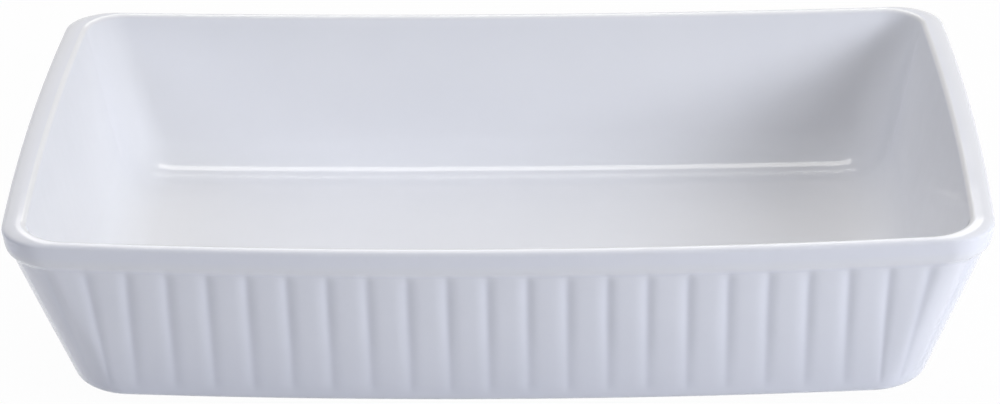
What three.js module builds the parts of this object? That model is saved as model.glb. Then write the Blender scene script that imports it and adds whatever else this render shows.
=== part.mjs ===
// Rectangular baking dish of glazed stoneware, with flared walls ribbed on the outside.
// Millimetres. X runs along the dish, Y across it, Z up. The foot ring stands on z = 0.
import * as THREE from 'three';

// Rim
const RIM_LENGTH = 330;
const RIM_WIDTH = 198.6;
const RIM_HEIGHT = 65.4;
const RIM_SIDE_THICKNESS = 3.8;
const RIM_END_THICKNESS = 8;
const RIM_CREST_SHARE = 0.4; // of the rim's thickness that lies inside its crest
const RIM_OUTER_ROUND = 1.8;
const RIM_INNER_ROUND = 1.5;
const RIM_OUTER_CORNER = 15;
const RIM_INNER_CORNER = 13;

// Plain band below the rim, which stands proud of the ribbed wall
const BAND_HEIGHT = 8.5;
const BAND_DRAFT = 1;
const BAND_STEP = 1.3;
const BAND_STEP_DROP = 1.8;
const BAND_EDGE_ROUND = 1.7;
const BAND_HOLLOW = 0.4;

// Walls and floor. The flare is how far the rim stands out past the base.
const END_FLARE = 19.5;
const SIDE_FLARE = 15.3;
const WALL_THICKNESS = 5.8;
const FLOOR_THICKNESS = 7.5;
const FLOOR_FILLET = 15;
const FLOOR_CORNER = 16;
const WALL_CORNER = 16;
const BASE_CORNER = 18;
const BASE_ROUND = 2.4;
const SMALLEST_CORNER = 2;

// Slow curves of the fired clay: sides that bow outward and ends that lift above the middle
const SIDE_BOW = 2.6;
const END_BOW = 3;
const END_LIFT = 3.3;

// Ribs on the outside of the walls, between valleys that rise a little way into the band's lower edge
// and get shallower towards the bottom
const RIB_PITCH = 13.1;
const RIB_DEPTH = 0.9;
const RIB_LOW_DEPTH = 0.45;
const RIB_VALLEY = 6.4;
const RIB_RISE = 0.9;
const RIB_TOP_FADE = 6.2;
const RIB_TAPER = 28;
const RIB_BOTTOM_FADE = 5.5;
const CORNER_FADE_POWER = 2; // how fast valleys get shallower where the corners draw them together

// Foot ring, left bare and ground flat
const FOOT_HEIGHT = 1.5;
const FOOT_INSET = 10;
const FOOT_WIDTH = 6;

// Glaze coat, wiped back from the foot by the bare margin
const GLAZE = 0.4;
const BARE_MARGIN = 1;

// Steps of the outlines and of the rounded edges
const SIDE_STEPS = 3;
const CORNER_STEPS = 6;
const END_STEPS = 2;
const FILLET_STEPS = 4;
const EDGE_STEPS = 3;
const FLOOR_SHARES = [0.35, 0.7];

// Half sizes of the rim outline before its sides bow
const rimHalfLength = RIM_LENGTH / 2 - END_BOW;
const rimHalfWidth = RIM_WIDTH / 2 - SIDE_BOW;

// A ring is one outline of the dish: half length, half width, corner radius and height.
// Its lift is 1 where it follows the rise of the ends, and 0 on the flat foot.
function makeRing(halfLength, halfWidth, corner, height, lift = 1) {
  return { halfLength, halfWidth, corner, height, lift };
}

function mixRings(first, second, share) {
  const mix = (a, b) => a + (b - a) * share;
  return makeRing(
    mix(first.halfLength, second.halfLength),
    mix(first.halfWidth, second.halfWidth),
    mix(first.corner, second.corner),
    mix(first.height, second.height),
    mix(first.lift, second.lift),
  );
}

function insetRing(outer, inset, height = outer.height) {
  const corner = Math.max(outer.corner - inset, SMALLEST_CORNER);
  return makeRing(outer.halfLength - inset, outer.halfWidth - inset, corner, height, outer.lift);
}

function shrinkRing(outer, share) {
  const corner = outer.corner * share;
  return makeRing(outer.halfLength * share, outer.halfWidth * share, corner, outer.height, outer.lift);
}

// Distance from ring to ring along the wall's section, as the mean of the long and the short side
function ringDistance(first, second) {
  const out = (second.halfLength - first.halfLength + second.halfWidth - first.halfWidth) / 2;
  return Math.hypot(out, second.height - first.height);
}

// The ring at a distance from one ring towards the next
function alongFrom(first, second, distance) {
  return mixRings(first, second, distance / ringDistance(first, second));
}

// The rings of a curve that leaves the start towards the edge and reaches the end from it
function curveRings(start, edge, end, steps) {
  const rings = [];
  for (let step = 0; step <= steps; step += 1) {
    const share = step / steps;
    rings.push(mixRings(mixRings(start, edge, share), mixRings(edge, end, share), share));
  }
  return rings;
}

// The rings of a rounded edge, which leaves both neighbouring faces at the same reach from the edge
function roundEdge(before, edge, after, reach, steps) {
  return curveRings(alongFrom(edge, before, reach), edge, alongFrom(edge, after, reach), steps);
}

// Key rings of the glazed surface, from the rim down the outside
const rimOuter = makeRing(rimHalfLength, rimHalfWidth, RIM_OUTER_CORNER, RIM_HEIGHT);
const bandEdge = insetRing(rimOuter, BAND_DRAFT, RIM_HEIGHT - BAND_HEIGHT);
const wallTopHeight = bandEdge.height - BAND_STEP_DROP;
const wallTop = { ...insetRing(bandEdge, BAND_STEP, wallTopHeight), corner: WALL_CORNER };
const baseEdge = makeRing(rimHalfLength - END_FLARE, rimHalfWidth - SIDE_FLARE, BASE_CORNER, FOOT_HEIGHT);
const outerGlazeLine = insetRing(baseEdge, FOOT_INSET - BARE_MARGIN);

// Key rings of the glazed surface inside
const floorHeight = FOOT_HEIGHT + FLOOR_THICKNESS;
const floorShare = FLOOR_THICKNESS / (wallTop.height - baseEdge.height);
const wallAtFloor = mixRings(baseEdge, wallTop, floorShare);
const rimInner = makeRing(
  rimHalfLength - RIM_END_THICKNESS,
  rimHalfWidth - RIM_SIDE_THICKNESS,
  RIM_INNER_CORNER,
  RIM_HEIGHT,
);
const floorEdge = { ...insetRing(wallAtFloor, WALL_THICKNESS, floorHeight), corner: FLOOR_CORNER };

// The rim is round all over: it rises steeply from the inside to its crest and falls slowly to the outside.
// Rounded edges stay within the faces that they round.
const crest = mixRings(rimInner, rimOuter, RIM_CREST_SHARE);
const rimInside = alongFrom(rimInner, floorEdge, RIM_INNER_ROUND);
const rimOutside = alongFrom(rimOuter, bandEdge, Math.min(RIM_OUTER_ROUND, BAND_HEIGHT / 2));
const bandReach = Math.min(BAND_EDGE_ROUND, ringDistance(bandEdge, wallTop) - BAND_HOLLOW);
const bandRoll = roundEdge(rimOuter, bandEdge, wallTop, bandReach, EDGE_STEPS);

// Rings of the ribbed wall: the valleys fade in under the band, taper down the wall and fade out above
// the bottom edge
const wallRing = (height) =>
  mixRings(baseEdge, wallTop, (height - baseEdge.height) / (wallTop.height - baseEdge.height));
const ribTopHeight = bandEdge.height + RIB_RISE;
const ribFullTop = wallRing(ribTopHeight - RIB_TOP_FADE);
const ribBottom = alongFrom(baseEdge, wallTop, BASE_ROUND);
const ribLow = wallRing(ribBottom.height + RIB_BOTTOM_FADE);
const ribTaper = wallRing(Math.min(ribLow.height + RIB_TAPER, ribFullTop.height - RIB_BOTTOM_FADE));

function fadingIn(ring) {
  const share = THREE.MathUtils.clamp((ribTopHeight - ring.height) / RIB_TOP_FADE, 0, 1);
  return { ...ring, relief: RIB_DEPTH * share };
}

const floorRings = FLOOR_SHARES.map((share) => shrinkRing(floorEdge, share));
const insideRings = [
  shrinkRing(floorEdge, 0),
  ...floorRings,
  ...roundEdge(insetRing(floorEdge, FLOOR_FILLET), floorEdge, rimInner, FLOOR_FILLET, FILLET_STEPS),
  ...curveRings(rimInside, rimInner, crest, EDGE_STEPS),
];
const upperRings = [
  ...curveRings(crest, rimOuter, rimOutside, EDGE_STEPS).slice(1),
  ...bandRoll.slice(0, -1),
];
const ribRings = [
  fadingIn(bandRoll.at(-1)),
  fadingIn(wallTop),
  { ...ribFullTop, relief: RIB_DEPTH },
  { ...ribTaper, relief: RIB_DEPTH },
  { ...ribLow, relief: RIB_LOW_DEPTH },
  { ...ribBottom, relief: 0 },
];
const lowerRings = [
  ...roundEdge(wallTop, baseEdge, outerGlazeLine, BASE_ROUND, EDGE_STEPS).slice(1),
  outerGlazeLine,
];

// The clay surface lies one glaze thickness below the glazed one, measured square to the section
function clayRings(rings) {
  return rings.map((here, index) => {
    const before = rings[Math.max(index - 1, 0)];
    const after = rings[Math.min(index + 1, rings.length - 1)];
    const out = (after.halfLength - before.halfLength + after.halfWidth - before.halfWidth) / 2;
    const up = after.height - before.height;
    const length = Math.hypot(out, up);
    const inward = (-up / length) * GLAZE;
    const isCentre = here.halfLength === 0;
    const side = isCentre ? here : insetRing(here, inward);
    return { ...side, height: here.height - (out / length) * GLAZE, relief: here.relief };
  });
}

const glazedRings = [...insideRings, ...upperRings, ...ribRings, ...lowerRings];
const bodyRings = clayRings(glazedRings);
const insideCount = insideRings.length;

// Foot ring and the glazed panel inside it
const footOuter = insetRing(baseEdge, FOOT_INSET);
const footInner = insetRing(footOuter, FOOT_WIDTH);
const panelEdge = insetRing(footInner, BARE_MARGIN);
const panelRings = [panelEdge, ...FLOOR_SHARES.toReversed().map((share) => shrinkRing(panelEdge, share))];
panelRings.push(shrinkRing(panelEdge, 0));
const raised = (ring) => ({ ...ring, height: ring.height + GLAZE });
const clayPanelRings = panelRings.map(raised);
const footRings = [
  raised(footOuter),
  { ...footOuter, height: 0, lift: 0 },
  { ...footInner, height: 0, lift: 0 },
  raised(footInner),
];

// A place on an outline runs from 0 to 12, three for each quarter turn from the middle of the front:
// along half a long side, round the corner and along half a short side, or back again.
const QUARTER = 3;
const TURN = 4 * QUARTER;
const SAME_PLACE = 1e-6;

// Where a place lies within its quarter, counted from the middle of the long side
function localPlace(place) {
  const quarter = Math.floor(place / QUARTER) % 4;
  const turned = place - Math.floor(place / QUARTER) * QUARTER;
  return { quarter, local: quarter % 2 === 0 ? turned : QUARTER - turned };
}

function outlinePoint(ring, straights, place) {
  const { quarter, local } = localPlace(place);
  const point = quarterPoint(ring, straights, local);
  const mirrorX = quarter < 2 ? 1 : -1;
  const mirrorY = quarter === 0 || quarter === 3 ? 1 : -1;
  point.x *= mirrorX;
  point.outX *= mirrorX;
  point.y *= mirrorY;
  point.outY *= mirrorY;
  return point;
}

// A point in the front right quarter, with the direction that points out of the outline
function quarterPoint(ring, straights, local) {
  const { halfLength, halfWidth, corner } = ring;
  if (local <= 1) {
    return { x: straights.x * local, y: -halfWidth, outX: 0, outY: -1 };
  }
  if (local >= 2) {
    return { x: halfLength, y: -straights.y * (QUARTER - local), outX: 1, outY: 0 };
  }
  const frontLength = halfLength - corner - straights.x;
  const arcLength = (corner * Math.PI) / 2;
  const sideLength = halfWidth - corner - straights.y;
  const walked = (local - 1) * (frontLength + arcLength + sideLength);
  const angle = THREE.MathUtils.clamp((walked - frontLength) / corner, 0, Math.PI / 2);
  const before = Math.min(walked - frontLength, 0);
  const after = Math.max(walked - frontLength - arcLength, 0);
  const x = halfLength - corner + corner * Math.sin(angle) + before;
  const y = corner - halfWidth - corner * Math.cos(angle) + after;
  return { x, y, outX: Math.sin(angle), outY: -Math.cos(angle) };
}

function cornerLength(ring, straights) {
  const plain = ring.halfLength + ring.halfWidth - 2 * ring.corner - straights.x - straights.y;
  return plain + (ring.corner * Math.PI) / 2;
}

// Sides bow outward and ends lift, by the same rule all over the dish
function shapePoint(x, y, height, lift) {
  const alongShare = x / rimHalfLength;
  const acrossShare = y / rimHalfWidth;
  const bowedX = x + END_BOW * alongShare * (1 - acrossShare ** 2);
  const bowedY = y + SIDE_BOW * acrossShare * (1 - alongShare ** 2);
  return new THREE.Vector3(bowedX, bowedY, height + END_LIFT * lift * alongShare ** 2);
}

function ownStraights(ring) {
  return { x: ring.halfLength - ring.corner, y: ring.halfWidth - ring.corner };
}

// Places of a plain outline: a few along the sides, more round the corners
function plainPlaces() {
  const quarter = [];
  for (let step = 0; step < SIDE_STEPS; step += 1) quarter.push(step / SIDE_STEPS);
  for (let step = 0; step < CORNER_STEPS; step += 1) quarter.push(1 + step / CORNER_STEPS);
  for (let step = 0; step <= END_STEPS; step += 1) quarter.push(2 + step / END_STEPS);
  const places = [];
  for (let turn = 0; turn < 4; turn += 1) {
    const local = turn % 2 === 0 ? quarter : quarter.map((place) => QUARTER - place).toReversed();
    local.slice(0, -1).forEach((place) => places.push(turn * QUARTER + place));
  }
  return places;
}

// The ribs run straight up the flat sides, so their outlines share the straights of the lowest one.
// They are odd in number, with a valley midway along the right end and a rib midway along the left end.
const ribStraights = ownStraights(ribBottom);
const ribCorner = cornerLength(ribFullTop, ribStraights);
const ribQuarter = ribStraights.x + ribCorner + ribStraights.y;
const ribTurn = 4 * ribQuarter;
const ribCount = 2 * Math.floor(ribTurn / RIB_PITCH / 2) + 1;
const ribSpacing = ribTurn / ribCount;
const ribStart = ribQuarter;

function ribQuarterPlace(length) {
  if (length <= ribStraights.x) return length / ribStraights.x;
  if (length <= ribStraights.x + ribCorner) return 1 + (length - ribStraights.x) / ribCorner;
  return QUARTER - (ribQuarter - length) / ribStraights.y;
}

function ribPlace(length) {
  const turn = Math.floor(length / ribQuarter);
  const local = length - turn * ribQuarter;
  const place = turn % 2 === 0 ? ribQuarterPlace(local) : QUARTER - ribQuarterPlace(ribQuarter - local);
  return turn * QUARTER + place;
}

// Each rib starts in a valley, whose flanks rise to the two shoulders of the rib
const flankWidth = Math.min(RIB_VALLEY / 2, ribSpacing / 3);
const ribSection = [
  { offset: 0, depth: 1 },
  { offset: flankWidth, depth: 0 },
  { offset: ribSpacing - flankWidth, depth: 0 },
];

// Places of all valleys and shoulders round the dish, with the share of the rib depth there
function ribStations() {
  const stations = [];
  for (let rib = 0; rib < ribCount; rib += 1) {
    ribSection.forEach(({ offset, depth }) => {
      const length = (ribStart + rib * ribSpacing + offset) % ribTurn;
      stations.push({ place: ribPlace(length), depth });
    });
  }
  return stations.sort((first, second) => first.place - second.place);
}

// Round the corners the valleys draw together towards the bottom, and get shallower as they do
function cornerDepth(ring, place) {
  const { local } = localPlace(place);
  if (local <= 1 || local >= 2) return 1;
  const room = Math.min(cornerLength(ring, ribStraights) / ribCorner, 1);
  return 1 - (1 - room ** CORNER_FADE_POWER) * Math.sin(Math.PI * (local - 1));
}

function ribLoop(ring) {
  return ribStations().map(({ place, depth }) => {
    const point = outlinePoint(ring, ribStraights, place);
    const inset = ring.relief * depth * cornerDepth(ring, place);
    const x = point.x - point.outX * inset;
    const y = point.y - point.outY * inset;
    return { place, point: shapePoint(x, y, ring.height, ring.lift) };
  });
}

function plainLoop(ring) {
  if (ring.halfLength === 0) return [{ place: 0, point: shapePoint(0, 0, ring.height, ring.lift) }];
  const straights = ownStraights(ring);
  return plainPlaces().map((place) => {
    const { x, y } = outlinePoint(ring, straights, place);
    return { place, point: shapePoint(x, y, ring.height, ring.lift) };
  });
}

const loopOf = (ring) => (ring.relief === undefined ? plainLoop(ring) : ribLoop(ring));

// Joins two loops with triangles, in the order of their places round the dish, and where two places are
// level across the shorter diagonal. A loop of one point makes a fan.
function joinLoops(points, first, second, faces) {
  const firstSteps = first.length === 1 ? 0 : first.length;
  const secondSteps = second.length === 1 ? 0 : second.length;
  const placeAt = (loop, step) => (step < loop.length ? loop[step].place : TURN);
  let i = 0;
  let j = 0;
  while (i < firstSteps || j < secondSteps) {
    const a = first[i % first.length].index;
    const b = second[j % second.length].index;
    const nextA = first[(i + 1) % first.length].index;
    const nextB = second[(j + 1) % second.length].index;
    const lead = placeAt(second, j + 1) - placeAt(first, i + 1);
    const shorter = points[nextA].distanceTo(points[b]) < points[a].distanceTo(points[nextB]);
    const firstIsNext = Math.abs(lead) > SAME_PLACE ? lead > 0 : shorter;
    if (j >= secondSteps || (i < firstSteps && firstIsNext)) {
      faces.push(a, b, nextA);
      i += 1;
    } else {
      faces.push(a, b, nextB);
      j += 1;
    }
  }
}

// Adds one loop of points for each ring
function addLoops(points, rings) {
  return rings.map((ring) =>
    loopOf(ring).map(({ place, point }) => ({ place, index: points.push(point) - 1 })),
  );
}

function skinFaces(points, loops) {
  const faces = [];
  for (let index = 0; index + 1 < loops.length; index += 1) {
    joinLoops(points, loops[index], loops[index + 1], faces);
  }
  return faces;
}

function meshGeometry(points, faces) {
  const geometry = new THREE.BufferGeometry().setFromPoints(points);
  geometry.setIndex(faces);
  geometry.computeVertexNormals();
  return geometry;
}

// A solid whose skin starts and ends in a point
function solidGeometry(rings) {
  const points = [];
  const loops = addLoops(points, rings);
  return meshGeometry(points, skinFaces(points, loops));
}

// A coat between its outer face and the face that it covers, whose triangles are the covered solid's own
function coatGeometry(outerRings, coveredRings) {
  const points = [];
  const outer = addLoops(points, outerRings);
  const covered = addLoops(points, coveredRings);
  const faces = skinFaces(points, outer);
  faces.push(...skinFaces(points, covered).toReversed());
  if (outer[0].length > 1) joinLoops(points, covered[0], outer[0], faces);
  if (outer.at(-1).length > 1) joinLoops(points, outer.at(-1), covered.at(-1), faces);
  return meshGeometry(points, faces);
}

const clay = new THREE.MeshStandardMaterial({ color: 0xe6dfd2, roughness: 0.9, metalness: 0 });
const glaze = new THREE.MeshStandardMaterial({ color: 0xe9ebf1, roughness: 0.12, metalness: 0 });

function piece(name, geometry, material) {
  const mesh = new THREE.Mesh(geometry, material);
  mesh.name = name;
  return mesh;
}

function stonewareBody() {
  return piece('stoneware_body', solidGeometry([...bodyRings, ...footRings, ...clayPanelRings]), clay);
}

function glazeInside() {
  const outer = glazedRings.slice(0, insideCount);
  const covered = bodyRings.slice(0, insideCount);
  return piece('glaze_inside', coatGeometry(outer, covered), glaze);
}

function glazeOutside() {
  const outer = glazedRings.slice(insideCount - 1);
  const covered = bodyRings.slice(insideCount - 1);
  return piece('glaze_outside', coatGeometry(outer, covered), glaze);
}

function glazeUnderside() {
  return piece('glaze_underside', coatGeometry(panelRings, clayPanelRings), glaze);
}

const dish = new THREE.Group();
dish.add(stonewareBody(), glazeInside(), glazeOutside(), glazeUnderside());

export default dish;
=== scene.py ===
# Rectangular baking dish of glazed stoneware: finished surfaces, studio and camera.
# Metres. X runs along the dish, Y across it, Z up. The foot ring stands on z = 0.
import math
from collections import namedtuple

import bpy
from mathutils import Matrix, Vector


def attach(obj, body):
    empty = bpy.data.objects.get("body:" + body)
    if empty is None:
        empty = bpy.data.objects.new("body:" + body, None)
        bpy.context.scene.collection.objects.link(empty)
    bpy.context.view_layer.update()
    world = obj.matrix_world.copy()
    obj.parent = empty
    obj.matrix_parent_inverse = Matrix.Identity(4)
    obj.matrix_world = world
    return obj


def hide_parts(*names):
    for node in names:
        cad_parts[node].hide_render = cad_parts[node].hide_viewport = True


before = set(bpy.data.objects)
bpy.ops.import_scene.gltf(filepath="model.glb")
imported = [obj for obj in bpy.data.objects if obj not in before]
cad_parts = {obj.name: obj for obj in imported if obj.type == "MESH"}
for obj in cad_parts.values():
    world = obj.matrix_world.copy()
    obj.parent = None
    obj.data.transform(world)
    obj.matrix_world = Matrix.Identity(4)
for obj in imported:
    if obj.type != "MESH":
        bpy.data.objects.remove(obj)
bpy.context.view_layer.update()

MM = 0.001

Ring = namedtuple("Ring", "half_length half_width corner height lift relief pool")
Straights = namedtuple("Straights", "x y")
Noise = namedtuple("Noise", "scale detail roughness", defaults=(0.5,))
GlazeTones = namedtuple("GlazeTones", "even cloudy thin pooled")
Softbox = namedtuple(
    "Softbox", "name azimuth elevation width height power colour mirrored", defaults=(False,)
)

# Rim
RIM_LENGTH = 330 * MM
RIM_WIDTH = 198.6 * MM
RIM_HEIGHT = 65.4 * MM
RIM_SIDE_THICKNESS = 3.8 * MM
RIM_END_THICKNESS = 8 * MM
RIM_CREST_INSET = 1.5 * MM  # from the inner edge to the crest
RIM_OUTER_ROUND = 1.8 * MM
RIM_INNER_ROUND = 1.5 * MM
RIM_OUTER_CORNER = 15 * MM
RIM_INNER_CORNER = 13 * MM
RIM_EASE = 0.05 * MM  # keeps the rounder rim inside the solid's box

# Plain band below the rim, which stands proud of the ribbed wall
BAND_HEIGHT = 8.5 * MM
BAND_DRAFT = 1 * MM
BAND_STEP = 1.3 * MM
BAND_STEP_DROP = 1.8 * MM
BAND_ROLL = 3.4 * MM
BAND_EDGE_ROUND = 1.2 * MM
BAND_HOLLOW = 0.9 * MM

# Walls and floor. The flare is how far the rim stands out past the base.
END_FLARE = 19.5 * MM
SIDE_FLARE = 15.3 * MM
WALL_THICKNESS = 5.8 * MM
FLOOR_THICKNESS = 7.5 * MM
FLOOR_FILLET = 15 * MM
FLOOR_CORNER = 16 * MM
WALL_CORNER = 16 * MM
BASE_CORNER = 18 * MM
BASE_ROUND = 2.4 * MM
SMALLEST_CORNER = 2 * MM

# Slow curves of the fired clay: sides that bow outward and ends that lift above the middle
SIDE_BOW = 2.6 * MM
END_BOW = 3 * MM
END_LIFT = 3.3 * MM

# Ribs on the outside of the walls, between valleys that rise a little way into the band's lower edge
# and get shallower towards the bottom
RIB_PITCH = 13.1 * MM
RIB_DEPTH = 0.76 * MM
RIB_LOW_DEPTH = 0.36 * MM
RIB_VALLEY = 8.4 * MM
RIB_RISE = 0.9 * MM
RIB_TOP_FADE = 6.2 * MM
RIB_TAPER = 28 * MM
RIB_BOTTOM_FADE = 5.5 * MM
CORNER_FADE_POWER = 2  # how fast valleys get shallower where the corners draw them together
CORNER_EASE = 0.35  # how much shallower the valleys are halfway round a corner
RIB_CROWN = 0.04 * MM  # how far the middle of a rib stands above its shoulders
RIB_FLANK_POWER = 2.6  # a valley's flanks flatten towards the shoulders of the ribs
RIB_VALLEY_ROUND = 0.9 * MM

# Foot ring, left bare and ground flat
FOOT_HEIGHT = 1.5 * MM
FOOT_INSET = 10 * MM
FOOT_WIDTH = 6 * MM
FOOT_ROUND = 0.5 * MM

# Glaze coat, wiped back from the foot by the bare margin
GLAZE = 0.4 * MM
GLAZE_LIP = 0.35 * MM
BARE_MARGIN = 1 * MM

# Where the glaze is thin (below 0) and where it pools (above 0)
FILLET_POOL = 1.0
# The lip takes the full thin tone, which on the inside is partly a painted shade on the rim
LIP_POOL = -1.0
BAND_EDGE_POOL = -0.8
BAND_HOLLOW_POOL = 0.8
BASE_POOL = -0.4

# Glaze: faint clouds, uneven gloss, slow waves and a fine peel
GLAZE_CLOUDS = Noise(scale=22, detail=4)
GLAZE_CLOUD_LIMITS = (0.35, 0.65)
GLAZE_GLOSS = Noise(scale=90, detail=3)
GLAZE_GLOSS_LIMITS = (0.3, 0.7)
GLAZE_ROUGHNESS = (0.07, 0.13)
GLAZE_IOR = 1.52
GLAZE_WAVES = Noise(scale=45, detail=2)
GLAZE_WAVE_DEPTH = 0.12 * MM
GLAZE_PEEL = Noise(scale=650, detail=1)
GLAZE_PEEL_DEPTH = 0.004 * MM
GLAZE_POOL_TINT = 0.8  # share of the thin or the pooled tone where the glaze is thinnest or deepest
INSIDE_TONES = GlazeTones(
    even=(0.868, 0.87, 0.892),
    cloudy=(0.853, 0.857, 0.882),
    # Thin glaze over the clay, and also a little darker as a painted shade that dims the top of the rim
    thin=(0.85, 0.845, 0.85),
    pooled=(0.843, 0.85, 0.877),
)
OUTSIDE_TONES = GlazeTones(
    even=(0.845, 0.85, 0.9),
    cloudy=(0.83, 0.837, 0.89),
    thin=(0.85, 0.85, 0.87),
    pooled=(0.805, 0.815, 0.88),
)
UNDERSIDE_TONES = GlazeTones(
    even=(0.82, 0.84, 0.87),
    cloudy=(0.80, 0.82, 0.86),
    thin=(0.86, 0.86, 0.86),
    pooled=(0.78, 0.81, 0.85),
)

# Bare clay: fine grain and a few iron specks
CLAY_GRAIN = Noise(scale=900, detail=4, roughness=0.7)
CLAY_GRAIN_LIMITS = (0.3, 0.7)
CLAY_GRAIN_DEPTH = 0.05 * MM
CLAY_ROUGHNESS = (0.78, 0.95)
CLAY_SPECULAR = 0.3
CLAY_DEEP = (0.70, 0.65, 0.57)
CLAY_PALE = (0.80, 0.76, 0.69)
SPECK_SCALE = 420
SPECK_EDGE = (0.06, 0.16)
SPECK_SHARE = (0.75, 0)  # from the middle of a speck to its edge
SPECK_GROUPS = Noise(scale=160, detail=2)
SPECK_GROUP_LIMITS = (0.56, 0.66)
SPECK_COLOUR = (0.36, 0.27, 0.19)

# Steps of the outlines and of the rounded edges, and the angle above which an edge stays sharp
SIDE_STEPS = 16
CORNER_STEPS = 40
END_STEPS = 10
FLOOR_STEPS = 6
WALL_STEPS = 6
FILLET_STEPS = 14
EDGE_STEPS = 9
FADE_STEPS = 7
FLANK_STEPS = 7
CROWN_STEPS = 3
SHARP_EDGE = math.radians(40)

# Camera
CAMERA_DISTANCE = 1183.6 * MM
CAMERA_AZIMUTH = math.radians(1.159)
CAMERA_ELEVATION = math.radians(26.189)
CAMERA_ROLL = math.radians(-0.882)
CAMERA_TARGET = Vector((-0.525 * MM, 0, 34.832 * MM))
CAMERA_LENS_MM = 120.57
CAMERA_SENSOR_MM = 36

# Studio: angles in degrees, azimuth from the front towards the right, elevation from the floor
STUDIO_FLOOR_HALF = 6.0
STUDIO_FLOOR_GAP = 0.05 * MM  # keeps the floor clear of the face that the foot stands on
STUDIO_FLOOR_COLOUR = (0.92, 0.92, 0.92)
STUDIO_FLOOR_WHITE = 0.97  # of what the camera sees of the floor, which keeps a weak shadow
WORLD_COLOUR = (0.88, 0.91, 1.0)
WORLD_LIGHT = 0.04
LAMP_DISTANCE = 1.5
LAMP_TARGET = Vector((0, 0, 30 * MM))
WARM = (1.0, 0.972, 0.9)
COOL = (0.88, 0.915, 1.0)
COLD = (0.74, 0.8, 1.0)
SOFTBOXES = (
    Softbox("key", azimuth=70, elevation=33, width=0.6, height=0.5, power=6.2, colour=COOL),
    Softbox("front_key", azimuth=54, elevation=20, width=0.8, height=0.4, power=9.9, colour=COOL),
    Softbox("left_fill", azimuth=283, elevation=38, width=0.8, height=0.6, power=5.0, colour=COLD),
    Softbox("high_fill", azimuth=248, elevation=62, width=0.9, height=0.9, power=1.0, colour=WARM),
    Softbox("top_strip", azimuth=180, elevation=85, width=0.9, height=0.36, power=4.5, colour=WARM,
            mirrored=True),
    Softbox("back_panel", azimuth=180, elevation=46, width=0.85, height=0.9, power=7.0, colour=WARM,
            mirrored=True),
)


# Rings

def make_ring(half_length, half_width, corner, height, lift=1.0):
    return Ring(half_length, half_width, corner, height, lift, 0.0, 0.0)


def mix_rings(first, second, share):
    return Ring(*(a + (b - a) * share for a, b in zip(first, second)))


def inset_ring(outer, inset, height=None):
    return outer._replace(
        half_length=outer.half_length - inset,
        half_width=outer.half_width - inset,
        corner=max(outer.corner - inset, SMALLEST_CORNER),
        height=outer.height if height is None else height,
    )


def shrink_ring(outer, share):
    return outer._replace(
        half_length=outer.half_length * share,
        half_width=outer.half_width * share,
        corner=outer.corner * share,
    )


def ring_distance(first, second):
    out = (second.half_length - first.half_length + second.half_width - first.half_width) / 2
    return math.hypot(out, second.height - first.height)


def along_from(first, second, distance):
    return mix_rings(first, second, distance / ring_distance(first, second))


def curve_rings(start, edge, end, steps, pool=0.0):
    """Rings of a curve past an edge, with the glaze drawn thin on it or pooled in it."""
    rings = []
    for step in range(steps + 1):
        share = step / steps
        ring = mix_rings(mix_rings(start, edge, share), mix_rings(edge, end, share), share)
        rings.append(ring._replace(pool=pool * math.sin(math.pi * share)))
    return rings


def round_edge(before, edge, after, reach, steps, pool=0.0):
    """Rings of a rounded edge, which leaves both neighbouring faces at the same reach from the edge."""
    return curve_rings(along_from(edge, before, reach), edge, along_from(edge, after, reach), steps, pool)


def between(first, second, steps):
    """Rings strictly between two others."""
    return [mix_rings(first, second, step / steps) for step in range(1, steps)]


# Outlines

QUARTER = 3


def own_straights(ring):
    return Straights(ring.half_length - ring.corner, ring.half_width - ring.corner)


def fitting_straights(ring, shared):
    own = own_straights(ring)
    return Straights(min(own.x, shared.x), min(own.y, shared.y))


def quarter_point(ring, straights, local):
    """Point in the front right quarter, with the direction that points out of the outline."""
    half_length, half_width, corner = ring[:3]
    if local <= 1:
        return straights.x * local, -half_width, 0.0, -1.0
    if local >= 2:
        return half_length, -straights.y * (QUARTER - local), 1.0, 0.0
    front = half_length - corner - straights.x
    arc = corner * math.pi / 2
    side = half_width - corner - straights.y
    walked = (local - 1) * (front + arc + side) - front
    angle = min(max(walked / corner, 0), math.pi / 2)
    x = half_length - corner + corner * math.sin(angle) + min(walked, 0)
    y = corner - half_width - corner * math.cos(angle) + max(walked - arc, 0)
    return x, y, math.sin(angle), -math.cos(angle)


def local_place(place):
    """The quarter that a place lies in, and how far from the middle of the long side it lies there."""
    quarter, turned = divmod(place, QUARTER)
    quarter = int(quarter) % 4
    return quarter, turned if quarter % 2 == 0 else QUARTER - turned


def outline_point(ring, straights, place):
    quarter, local = local_place(place)
    x, y, out_x, out_y = quarter_point(ring, straights, local)
    mirror_x = 1 if quarter < 2 else -1
    mirror_y = 1 if quarter in (0, 3) else -1
    return x * mirror_x, y * mirror_y, out_x * mirror_x, out_y * mirror_y


# Key rings of the glazed surface

rim_half_length = RIM_LENGTH / 2 - END_BOW
rim_half_width = RIM_WIDTH / 2 - SIDE_BOW
rim_outer = make_ring(
    rim_half_length - RIM_EASE, rim_half_width - RIM_EASE, RIM_OUTER_CORNER, RIM_HEIGHT - RIM_EASE
)
band_edge = inset_ring(rim_outer, BAND_DRAFT, RIM_HEIGHT - BAND_HEIGHT)
wall_top = inset_ring(band_edge, BAND_STEP, band_edge.height - BAND_STEP_DROP)._replace(corner=WALL_CORNER)
base_edge = make_ring(
    rim_half_length - END_FLARE, rim_half_width - SIDE_FLARE, BASE_CORNER, FOOT_HEIGHT
)
outer_glaze_line = inset_ring(base_edge, FOOT_INSET - BARE_MARGIN)

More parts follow.
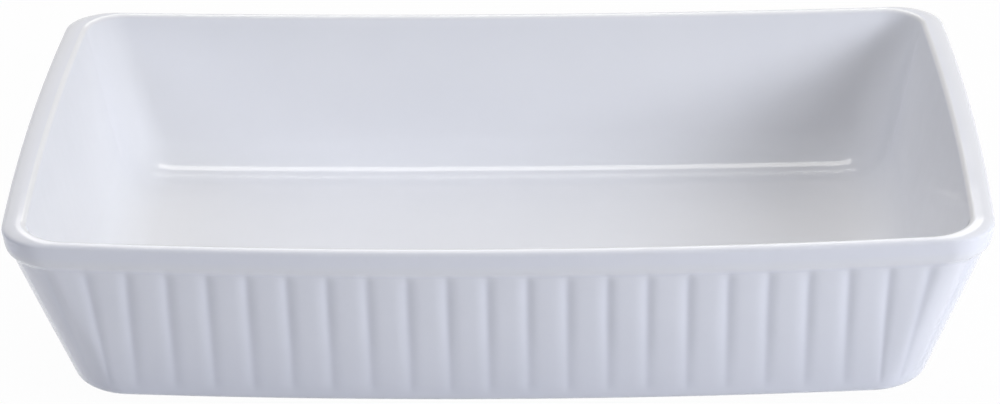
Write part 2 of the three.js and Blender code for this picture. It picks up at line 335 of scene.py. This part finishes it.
floor_height = FOOT_HEIGHT + FLOOR_THICKNESS
wall_at_floor = mix_rings(base_edge, wall_top, FLOOR_THICKNESS / (wall_top.height - base_edge.height))
rim_inner = make_ring(
    rim_half_length - RIM_END_THICKNESS,
    rim_half_width - RIM_SIDE_THICKNESS,
    RIM_INNER_CORNER,
    rim_outer.height,
)
floor_edge = inset_ring(wall_at_floor, WALL_THICKNESS, floor_height)._replace(corner=FLOOR_CORNER)
crest = inset_ring(rim_inner, -RIM_CREST_INSET)
rim_inside = along_from(rim_inner, floor_edge, RIM_INNER_ROUND)
rim_outside = along_from(rim_outer, band_edge, RIM_OUTER_ROUND)


def wall_ring(height):
    return mix_rings(base_edge, wall_top, (height - base_edge.height) / (wall_top.height - base_edge.height))


rib_top_height = band_edge.height + RIB_RISE
rib_full_top = wall_ring(rib_top_height - RIB_TOP_FADE)
rib_bottom = along_from(base_edge, wall_top, BASE_ROUND)
rib_low = wall_ring(rib_bottom.height + RIB_BOTTOM_FADE)
rib_taper = wall_ring(rib_low.height + RIB_TAPER)

foot_outer = inset_ring(base_edge, FOOT_INSET)
foot_inner = inset_ring(foot_outer, FOOT_WIDTH)
panel_edge = inset_ring(foot_inner, BARE_MARGIN)

# The ribs run straight up the flat sides, so their outlines share the straights of the lowest one.
# They are odd in number, with a valley midway along the right end and a rib midway along the left end.
rib_straights = own_straights(rib_bottom)
inside_straights = own_straights(floor_edge)


def corner_length(ring, straights):
    plain = ring.half_length + ring.half_width - 2 * ring.corner - straights.x - straights.y
    return plain + ring.corner * math.pi / 2


rib_corner = corner_length(rib_full_top, rib_straights)
rib_quarter = rib_straights.x + rib_corner + rib_straights.y
rib_turn = 4 * rib_quarter
rib_count = 2 * math.floor(rib_turn / RIB_PITCH / 2) + 1
rib_spacing = rib_turn / rib_count
flank_width = min(RIB_VALLEY / 2, rib_spacing / 3)


def rib_quarter_place(length):
    if length <= rib_straights.x:
        return length / rib_straights.x
    if length <= rib_straights.x + rib_corner:
        return 1 + (length - rib_straights.x) / rib_corner
    return QUARTER - (rib_quarter - length) / rib_straights.y


def rib_place(length):
    turn, local = divmod(length, rib_quarter)
    if turn % 2 == 0:
        return turn * QUARTER + rib_quarter_place(local)
    return (turn + 1) * QUARTER - rib_quarter_place(rib_quarter - local)


def rib_depth(offset):
    """Share of the rib depth at a distance from the valley: a soft V that ends in the rib's low crown."""
    reach = math.hypot(offset, RIB_VALLEY_ROUND) - RIB_VALLEY_ROUND
    flank = max(1 - reach / flank_width, 0) ** RIB_FLANK_POWER
    crown = RIB_CROWN / RIB_DEPTH * (1 - 2 * offset / rib_spacing) ** 2
    return max(flank, crown)


def corner_depth(ring, place):
    """Round the corners the valleys draw together towards the bottom, and get shallower as they do."""
    local = local_place(place)[1]
    if local <= 1 or local >= 2:
        return 1.0
    turned = math.sin(math.pi * (local - 1))
    room = min(corner_length(ring, rib_straights) / rib_corner, 1)
    return (1 - (1 - room ** CORNER_FADE_POWER) * turned) * (1 - CORNER_EASE * turned)


def rib_stations():
    """Places round the dish with the share of the rib depth there, close together in the valleys."""
    half = [flank_width * step / FLANK_STEPS for step in range(FLANK_STEPS)]
    top = rib_spacing / 2 - flank_width
    half += [flank_width + top * step / CROWN_STEPS for step in range(CROWN_STEPS + 1)]
    offsets = half + [rib_spacing - offset for offset in reversed(half[1:-1])]
    stations = []
    for rib in range(rib_count):
        for offset in offsets:
            nearest = min(offset, rib_spacing - offset)
            length = rib_quarter + rib * rib_spacing + offset
            stations.append((rib_place(length), rib_depth(nearest)))
    return stations


def plain_stations():
    quarter = [step / SIDE_STEPS for step in range(SIDE_STEPS)]
    quarter += [1 + step / CORNER_STEPS for step in range(CORNER_STEPS)]
    quarter += [2 + step / END_STEPS for step in range(END_STEPS + 1)]
    stations = []
    for turn in range(4):
        local = quarter if turn % 2 == 0 else [QUARTER - place for place in reversed(quarter)]
        stations += [(turn * QUARTER + place, 0.0) for place in local[:-1]]
    return stations


def shape_point(x, y, height, lift):
    """Sides bow outward and ends lift, by the same rule all over the dish."""
    along = x / rim_half_length
    across = y / rim_half_width
    bowed_x = x + END_BOW * along * (1 - across ** 2)
    bowed_y = y + SIDE_BOW * across * (1 - along ** 2)
    return bowed_x, bowed_y, height + END_LIFT * lift * along ** 2


# Surfaces as chains of rings

def inside_rings():
    fillet_start = inset_ring(floor_edge, FLOOR_FILLET)
    fillet = round_edge(fillet_start, floor_edge, rim_inner, FLOOR_FILLET, FILLET_STEPS, FILLET_POOL)
    lip = curve_rings(rim_inside, rim_inner, crest, EDGE_STEPS, LIP_POOL)
    floor = [shrink_ring(fillet[0], step / FLOOR_STEPS) for step in range(FLOOR_STEPS)]
    return [*floor, *fillet, *between(fillet[-1], lip[0], WALL_STEPS), *lip]


def outside_rings():
    lip = curve_rings(crest, rim_outer, rim_outside, EDGE_STEPS, LIP_POOL)
    roll = along_from(band_edge, rim_outer, BAND_ROLL)
    under = along_from(band_edge, wall_top, BAND_EDGE_ROUND)
    edge = curve_rings(roll, band_edge, under, EDGE_STEPS, BAND_EDGE_POOL)
    hollow = round_edge(band_edge, wall_top, rib_full_top, BAND_HOLLOW, EDGE_STEPS, BAND_HOLLOW_POOL)
    bottom = round_edge(wall_top, base_edge, outer_glaze_line, BASE_ROUND, EDGE_STEPS, BASE_POOL)
    return [
        *lip,
        *between(lip[-1], edge[0], WALL_STEPS),
        *rib_rings([*edge, *hollow, *wall_rings(hollow[-1])]),
        *bottom[1:],
        *between(bottom[-1], outer_glaze_line, WALL_STEPS),
        *glaze_lip(outer_glaze_line),
    ]


def wall_rings(top):
    """Rings down the ribbed wall, close together where the valleys fade in and out."""
    return [
        *between(top, rib_full_top, FADE_STEPS),
        rib_full_top,
        *between(rib_full_top, rib_taper, WALL_STEPS),
        rib_taper,
        *between(rib_taper, rib_low, WALL_STEPS),
        rib_low,
        *between(rib_low, rib_bottom, FADE_STEPS),
        rib_bottom,
    ]


def smooth_step(share):
    held = min(max(share, 0), 1)
    return held * held * (3 - 2 * held)


def rib_relief(height):
    """Share of the rib depth at a height: it fades in under the band, tapers and fades out at the bottom."""
    fade_in = smooth_step((rib_top_height - height) / RIB_TOP_FADE)
    taper = smooth_step((rib_taper.height - height) / RIB_TAPER)
    fade_out = smooth_step((height - rib_bottom.height) / RIB_BOTTOM_FADE)
    return fade_in * (1 - (1 - RIB_LOW_DEPTH / RIB_DEPTH) * taper) * fade_out


def rib_rings(rings):
    return [ring._replace(relief=rib_relief(ring.height)) for ring in rings]


def glaze_lip(line):
    """The coat ends in a rounded lip that thins towards the bare clay."""
    inner = inset_ring(line, GLAZE_LIP, line.height + GLAZE)
    corner = inset_ring(line, GLAZE_LIP)
    return curve_rings(line, corner, inner, EDGE_STEPS)


def clay_rings(rings):
    """The clay surface lies one glaze thickness below the glazed one, square to the section."""
    clay = []
    for index, here in enumerate(rings):
        before = rings[max(index - 1, 0)]
        after = rings[min(index + 1, len(rings) - 1)]
        out = (after.half_length - before.half_length + after.half_width - before.half_width) / 2
        up = after.height - before.height
        length = math.hypot(out, up)
        side = here if here.half_length == 0 else inset_ring(here, -up / length * GLAZE)
        clay.append(side._replace(height=here.height - out / length * GLAZE))
    return clay


# Meshes

def ring_points(ring, stations, shared):
    if ring.half_length == 0:
        return [(shape_point(0, 0, ring.height, ring.lift), 0.0)]
    straights = fitting_straights(ring, shared)
    points = []
    for place, depth in stations:
        x, y, out_x, out_y = outline_point(ring, straights, place)
        inset = RIB_DEPTH * ring.relief * depth * corner_depth(ring, place)
        point = shape_point(x - out_x * inset, y - out_y * inset, ring.height, ring.lift)
        points.append((point, ring.pool + ring.relief * (depth - RIB_CROWN / RIB_DEPTH)))
    return points


def join_loops(first, second):
    count = max(len(first), len(second))
    faces = []
    for step in range(count):
        after = (step + 1) % count
        corners = [first[step % len(first)], second[step % len(second)]]
        corners += [second[after % len(second)], first[after % len(first)]]
        faces.append(list(dict.fromkeys(corners)))
    return faces


def loft(name, rings, stations, shared, closed=False):
    """A mesh through a chain of rings, with the glaze's thickness kept for its material."""
    vertices = []
    pools = []
    loops = []
    for ring in rings:
        points = ring_points(ring, stations, shared)
        loops.append(range(len(vertices), len(vertices) + len(points)))
        vertices += [point for point, pool in points]
        pools += [pool for point, pool in points]
    followers = loops[1:] + ([loops[0]] if closed else [])
    faces = []
    for first, second in zip(loops, followers):
        faces += join_loops(first, second)
    mesh = bpy.data.meshes.new(name)
    mesh.from_pydata(vertices, [], faces)
    thickness = mesh.attributes.new("glaze_pool", "FLOAT", "POINT")
    thickness.data.foreach_set("value", pools)
    mesh.polygons.foreach_set("use_smooth", [True] * len(mesh.polygons))
    mesh.set_sharp_from_angle(angle=SHARP_EDGE)
    piece = bpy.data.objects.new(name, mesh)
    bpy.context.scene.collection.objects.link(piece)
    return piece


def finish_piece(piece, node, material):
    piece.data.materials.append(material)
    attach(piece, "root")
    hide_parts(node)


# Materials

class Nodes:
    """A material's node tree, with short ways to add and join nodes."""

    def __init__(self, name):
        self.material = bpy.data.materials.new(name)
        self.material.use_nodes = True
        self.tree = self.material.node_tree
        self.shader = self.tree.nodes["Principled BSDF"]
        self.coordinates = self.tree.nodes.new("ShaderNodeTexCoord").outputs["Object"]

    def join(self, source, target):
        self.tree.links.new(source, target)

    def noise(self, kind):
        node = self.tree.nodes.new("ShaderNodeTexNoise")
        node.inputs["Scale"].default_value = kind.scale
        node.inputs["Detail"].default_value = kind.detail
        node.inputs["Roughness"].default_value = kind.roughness
        self.join(self.coordinates, node.inputs["Vector"])
        return node.outputs["Fac"]

    def cell_distance(self, scale):
        node = self.tree.nodes.new("ShaderNodeTexVoronoi")
        node.inputs["Scale"].default_value = scale
        self.join(self.coordinates, node.inputs["Vector"])
        return node.outputs["Distance"]

    def attribute(self, name):
        node = self.tree.nodes.new("ShaderNodeAttribute")
        node.attribute_name = name
        return node.outputs["Fac"]

    def remap(self, value, limits, results=(0, 1)):
        node = self.tree.nodes.new("ShaderNodeMapRange")
        node.inputs["From Min"].default_value = limits[0]
        node.inputs["From Max"].default_value = limits[1]
        node.inputs["To Min"].default_value = results[0]
        node.inputs["To Max"].default_value = results[1]
        self.join(value, node.inputs["Value"])
        return node.outputs["Result"]

    def multiply(self, first, second):
        node = self.tree.nodes.new("ShaderNodeMath")
        node.operation = "MULTIPLY"
        self.join(first, node.inputs[0])
        self.join(second, node.inputs[1])
        return node.outputs["Value"]

    def mix(self, share, first, second):
        node = self.tree.nodes.new("ShaderNodeMix")
        node.data_type = "RGBA"
        self.join(share, node.inputs["Factor"])
        for socket, colour in ((node.inputs["A"], first), (node.inputs["B"], second)):
            if isinstance(colour, bpy.types.NodeSocket):
                self.join(colour, socket)
            else:
                socket.default_value = (*colour, 1)
        return node.outputs["Result"]

    def bump(self, height, distance, normal=None):
        node = self.tree.nodes.new("ShaderNodeBump")
        node.inputs["Distance"].default_value = distance
        self.join(height, node.inputs["Height"])
        if normal:
            self.join(normal, node.inputs["Normal"])
        return node.outputs["Normal"]


def glaze_material(name, tones):
    """Glossy white glaze: faint clouds, thin and warm on the edges, pooled and cool in the hollows."""
    nodes = Nodes(name)
    clouds = nodes.remap(nodes.noise(GLAZE_CLOUDS), GLAZE_CLOUD_LIMITS)
    colour = nodes.mix(clouds, tones.even, tones.cloudy)
    pool = nodes.attribute("glaze_pool")
    colour = nodes.mix(nodes.remap(pool, (0, -1), (0, GLAZE_POOL_TINT)), colour, tones.thin)
    colour = nodes.mix(nodes.remap(pool, (0, 1), (0, GLAZE_POOL_TINT)), colour, tones.pooled)
    nodes.join(colour, nodes.shader.inputs["Base Color"])
    gloss = nodes.remap(nodes.noise(GLAZE_GLOSS), GLAZE_GLOSS_LIMITS, GLAZE_ROUGHNESS)
    nodes.join(gloss, nodes.shader.inputs["Roughness"])
    nodes.shader.inputs["IOR"].default_value = GLAZE_IOR
    waves = nodes.bump(nodes.noise(GLAZE_WAVES), GLAZE_WAVE_DEPTH)
    peel = nodes.bump(nodes.noise(GLAZE_PEEL), GLAZE_PEEL_DEPTH, waves)
    nodes.join(peel, nodes.shader.inputs["Normal"])
    return nodes.material


def clay_material(name):
    """Bare fired stoneware: warm and matt, with fine grain and a few iron specks."""
    nodes = Nodes(name)
    grain = nodes.noise(CLAY_GRAIN)
    colour = nodes.mix(nodes.remap(grain, CLAY_GRAIN_LIMITS), CLAY_DEEP, CLAY_PALE)
    dark = nodes.remap(nodes.cell_distance(SPECK_SCALE), SPECK_EDGE, SPECK_SHARE)
    chosen = nodes.remap(nodes.noise(SPECK_GROUPS), SPECK_GROUP_LIMITS)
    colour = nodes.mix(nodes.multiply(dark, chosen), colour, SPECK_COLOUR)
    nodes.join(colour, nodes.shader.inputs["Base Color"])
    nodes.join(nodes.remap(grain, CLAY_GRAIN_LIMITS, CLAY_ROUGHNESS), nodes.shader.inputs["Roughness"])
    nodes.shader.inputs["Specular IOR Level"].default_value = CLAY_SPECULAR
    nodes.join(nodes.bump(grain, CLAY_GRAIN_DEPTH), nodes.shader.inputs["Normal"])
    return nodes.material


# Pieces

def glaze_inside():
    outer = inside_rings()
    coat = [*outer, *reversed(clay_rings(outer))]
    piece = loft("inside_glaze_coat", coat, plain_stations(), inside_straights)
    material = glaze_material("inside_glaze", INSIDE_TONES)
    finish_piece(piece, "glaze_inside", material)


def glaze_outside():
    outer = outside_rings()
    coat = [*outer, *reversed(clay_rings(outer[:-EDGE_STEPS - 1]))]
    piece = loft("outside_glaze_coat", coat, rib_stations(), rib_straights, closed=True)
    material = glaze_material("outside_glaze", OUTSIDE_TONES)
    finish_piece(piece, "glaze_outside", material)


def panel_rings(edge):
    return [shrink_ring(edge, 1 - step / FLOOR_STEPS) for step in range(FLOOR_STEPS + 1)]


def glaze_underside():
    lip_inner = panel_edge._replace(height=panel_edge.height + GLAZE)
    lip_end = inset_ring(panel_edge, GLAZE_LIP)
    lip = curve_rings(lip_inner, panel_edge, lip_end, EDGE_STEPS)[:-1]
    covered = [ring._replace(height=ring.height + GLAZE) for ring in panel_rings(panel_edge)]
    coat = [*reversed(covered[1:]), *lip, *panel_rings(lip_end)]
    piece = loft("underside_glaze_coat", coat, plain_stations(), inside_straights)
    material = glaze_material("underside_glaze", UNDERSIDE_TONES)
    finish_piece(piece, "glaze_underside", material)


def foot_rings():
    """The foot ring's section, with its ground edges slightly rounded."""
    clay_height = FOOT_HEIGHT + GLAZE
    outer_top = foot_outer._replace(height=clay_height)
    outer_low = foot_outer._replace(height=0.0, lift=0.0)
    inner_low = foot_inner._replace(height=0.0, lift=0.0)
    inner_top = foot_inner._replace(height=clay_height)
    return [
        outer_top,
        *round_edge(outer_top, outer_low, inner_low, FOOT_ROUND, EDGE_STEPS),
        *round_edge(outer_low, inner_low, inner_top, FOOT_ROUND, EDGE_STEPS),
        inner_top,
    ]


def stoneware_body():
    covered = clay_rings([*inside_rings(), *outside_rings()[1:-EDGE_STEPS - 1]])
    clay_panel = [ring._replace(height=ring.height + GLAZE) for ring in panel_rings(panel_edge)]
    rings = [*covered, *foot_rings(), *clay_panel]
    piece = loft("stoneware_dish_body", rings, rib_stations(), rib_straights)
    finish_piece(piece, "stoneware_body", clay_material("bare_stoneware"))


# Studio floor, world, lamps and camera

def background_rays(tree):
    """1 for the rays that show the background: straight from the camera, mirrored or let through."""
    path = tree.nodes.new("ShaderNodeLightPath")
    total = path.outputs["Is Camera Ray"]
    for name in ("Is Glossy Ray", "Is Transmission Ray"):
        largest = tree.nodes.new("ShaderNodeMath")
        largest.operation = "MAXIMUM"
        tree.links.new(total, largest.inputs[0])
        tree.links.new(path.outputs[name], largest.inputs[1])
        total = largest.outputs["Value"]
    return total


def studio_floor():
    mesh = bpy.data.meshes.new("studio_floor")
    corners = [(-1, -1), (1, -1), (1, 1), (-1, 1)]
    points = [(x * STUDIO_FLOOR_HALF, y * STUDIO_FLOOR_HALF, -STUDIO_FLOOR_GAP) for x, y in corners]
    mesh.from_pydata(points, [], [range(4)])
    floor = bpy.data.objects.new("studio_floor", mesh)
    bpy.context.scene.collection.objects.link(floor)
    nodes = Nodes("studio_floor")
    nodes.shader.inputs["Base Color"].default_value = (*STUDIO_FLOOR_COLOUR, 1)
    nodes.shader.inputs["Roughness"].default_value = 1
    nodes.shader.inputs["Specular IOR Level"].default_value = 0
    white = nodes.tree.nodes.new("ShaderNodeEmission")
    blend = nodes.tree.nodes.new("ShaderNodeMixShader")
    shown = nodes.tree.nodes.new("ShaderNodeMath")
    shown.operation = "MULTIPLY"
    shown.inputs[1].default_value = STUDIO_FLOOR_WHITE
    nodes.join(background_rays(nodes.tree), shown.inputs[0])
    nodes.join(shown.outputs["Value"], blend.inputs["Fac"])
    nodes.join(nodes.shader.outputs["BSDF"], blend.inputs[1])
    nodes.join(white.outputs["Emission"], blend.inputs[2])
    nodes.join(blend.outputs["Shader"], nodes.tree.nodes["Material Output"].inputs["Surface"])
    mesh.materials.append(nodes.material)


def studio_world():
    """Weak cool light from all round, which looks white to the camera and in reflections."""
    world = bpy.data.worlds.new("studio")
    world.use_nodes = True
    tree = world.node_tree
    light = tree.nodes["Background"]
    light.inputs["Color"].default_value = (*WORLD_COLOUR, 1)
    light.inputs["Strength"].default_value = WORLD_LIGHT
    white = tree.nodes.new("ShaderNodeBackground")
    white.inputs["Color"].default_value = (1, 1, 1, 1)
    white.inputs["Strength"].default_value = 1
    blend = tree.nodes.new("ShaderNodeMixShader")
    tree.links.new(background_rays(tree), blend.inputs["Fac"])
    tree.links.new(light.outputs["Background"], blend.inputs[1])
    tree.links.new(white.outputs["Background"], blend.inputs[2])
    tree.links.new(blend.outputs["Shader"], tree.nodes["World Output"].inputs["Surface"])
    bpy.context.scene.world = world


def direction(azimuth, elevation):
    """Points from the dish: azimuth from the front towards the right, elevation from the floor."""
    level = math.cos(elevation)
    return Vector((math.sin(azimuth) * level, -math.cos(azimuth) * level, math.sin(elevation)))


def add_softbox(softbox):
    """A soft lamp that faces the dish. Only the mirrored ones show as highlights on the glaze."""
    lamp = bpy.data.lights.new(softbox.name, "AREA")
    lamp.shape = "RECTANGLE"
    lamp.size = softbox.width
    lamp.size_y = softbox.height
    lamp.energy = softbox.power
    lamp.color = softbox.colour
    box = bpy.data.objects.new(softbox.name, lamp)
    away = direction(math.radians(softbox.azimuth), math.radians(softbox.elevation))
    box.location = LAMP_TARGET + away * LAMP_DISTANCE
    box.rotation_euler = (-away).to_track_quat("-Z", "Y").to_euler()
    box.visible_glossy = softbox.mirrored
    bpy.context.scene.collection.objects.link(box)


def studio_camera():
    back = direction(CAMERA_AZIMUTH, CAMERA_ELEVATION)
    level = Vector((math.cos(CAMERA_AZIMUTH), math.sin(CAMERA_AZIMUTH), 0))
    upright = back.cross(level)
    right = math.cos(CAMERA_ROLL) * level + math.sin(CAMERA_ROLL) * upright
    up = math.cos(CAMERA_ROLL) * upright - math.sin(CAMERA_ROLL) * level
    lens = bpy.data.cameras.new("camera")
    lens.lens = CAMERA_LENS_MM
    lens.sensor_width = CAMERA_SENSOR_MM
    lens.sensor_fit = "HORIZONTAL"
    camera = bpy.data.objects.new("camera", lens)
    turn = Matrix((right, up, back)).transposed().to_4x4()
    camera.matrix_world = Matrix.Translation(CAMERA_TARGET + back * CAMERA_DISTANCE) @ turn
    bpy.context.scene.collection.objects.link(camera)
    bpy.context.scene.camera = camera


stoneware_body()
glaze_inside()
glaze_outside()
glaze_underside()

studio_floor()
studio_world()
for softbox in SOFTBOXES:
    add_softbox(softbox)
studio_camera()
bpy.context.scene.view_settings.view_transform = "Standard"
